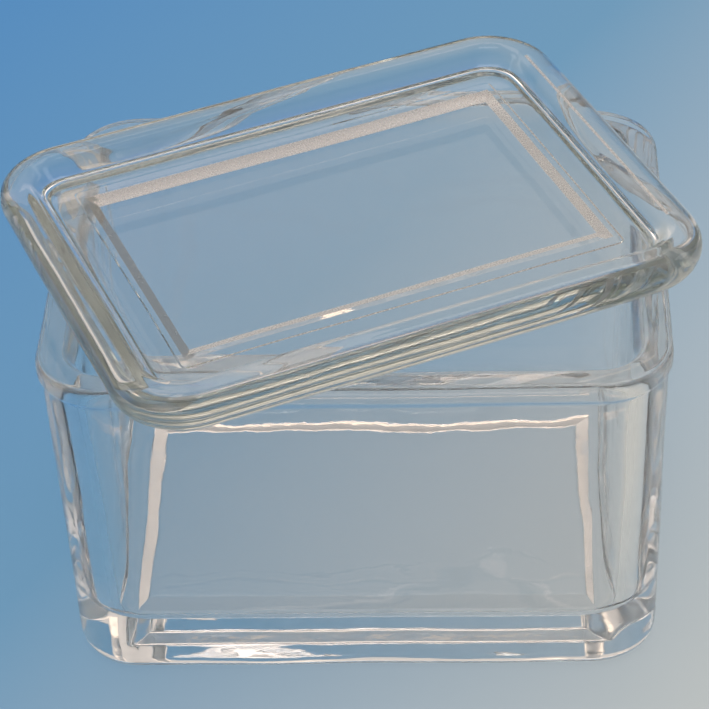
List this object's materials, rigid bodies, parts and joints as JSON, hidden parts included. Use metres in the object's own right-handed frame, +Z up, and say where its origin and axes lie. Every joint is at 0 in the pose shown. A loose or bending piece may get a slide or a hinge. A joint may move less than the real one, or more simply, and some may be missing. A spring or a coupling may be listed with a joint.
{
  "type": "slide staining jar",
  "caption": "Rectangular pressed glass staining dish for microscope slides, with a rimmed foot, a lipped mouth and a loose glass cover lying askew on the rim.",
  "frame": {"origin": "centre of the dish's foot, on the plane it stands on", "axes": "+X along the dish's long side, +Z up out of its mouth"},
  "size_m": [0.1045, 0.0943, 0.066],
  "materials": {
    "dish_glass": "clear pressed soda-lime glass, slightly wavy",
    "lid_glass": "clear pressed soda-lime glass, slightly wavy"
  },
  "bodies": {
    "root": {"dish": "dish_glass", "lid": "lid_glass"}
  },
  "joints": []
}
